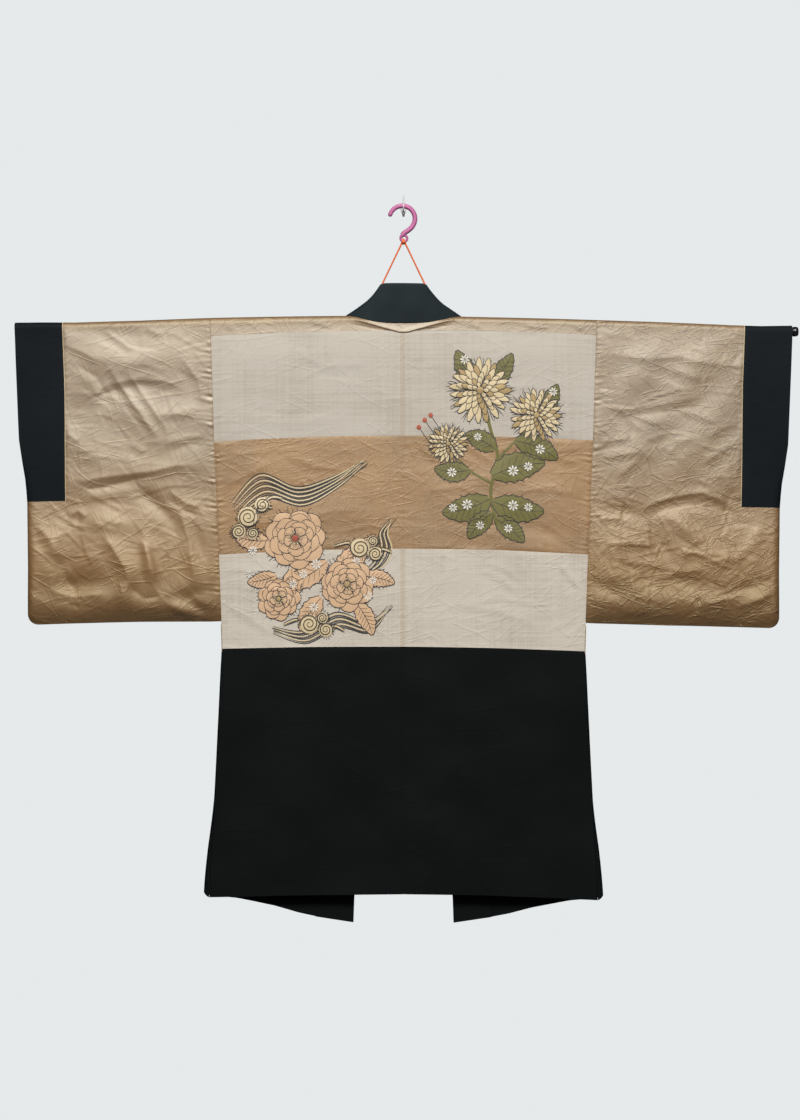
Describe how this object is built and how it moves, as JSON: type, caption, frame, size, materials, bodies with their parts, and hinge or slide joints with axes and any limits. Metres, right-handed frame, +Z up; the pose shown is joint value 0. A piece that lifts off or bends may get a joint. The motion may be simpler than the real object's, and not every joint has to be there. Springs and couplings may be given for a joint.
{
  "type": "haori jacket on rod hanger",
  "caption": "Haori jacket turned inside out to show its satin and woven lining, spread flat on a rod through both sleeves, hung by a cord and plastic hook from a small wall hook.",
  "frame": {"origin": "on the wall's face behind the plastic hook's crown, where the small steel hook is fixed", "axes": "+X to the viewer's right along the rod, +Y into the wall, +Z up; the lining of the back faces -Y"},
  "size_m": [1.3313, 0.04, 1.2431],
  "materials": {
    "satin": "tan silk satin with a soft sheen",
    "pale_weave": "matte grey-cream plain weave with fine slubs",
    "brown_satin": "brown silk satin, creased",
    "black_silk": "black silk, matte",
    "rod_plastic": "black plastic, glossy",
    "cord_orange": "twisted orange cord",
    "hook_plastic": "pink-purple plastic, glossy",
    "steel": "bright steel"
  },
  "bodies": {
    "root": {"back_upper_left": "pale_weave", "back_upper_right": "pale_weave", "back_middle_left": "brown_satin", "back_middle_right": "brown_satin", "back_lower_left": "pale_weave", "back_lower_right": "pale_weave", "back_hem_left": "black_silk", "back_hem_right": "black_silk", "front_lining_left": "satin", "front_lining_right": "satin", "front_hem_left": "black_silk", "front_hem_right": "black_silk", "gusset_left": "black_silk", "gusset_right": "black_silk", "sleeve_left": "satin", "sleeve_right": "satin", "cuff_left": "black_silk", "cuff_right": "black_silk", "collar": "black_silk", "hanger_rod": "rod_plastic", "rod_cap_left": "rod_plastic", "rod_cap_right": "rod_plastic", "hanger_cord": "cord_orange", "hanger_hook": "hook_plastic", "wall_hook": "steel"}
  },
  "joints": []
}
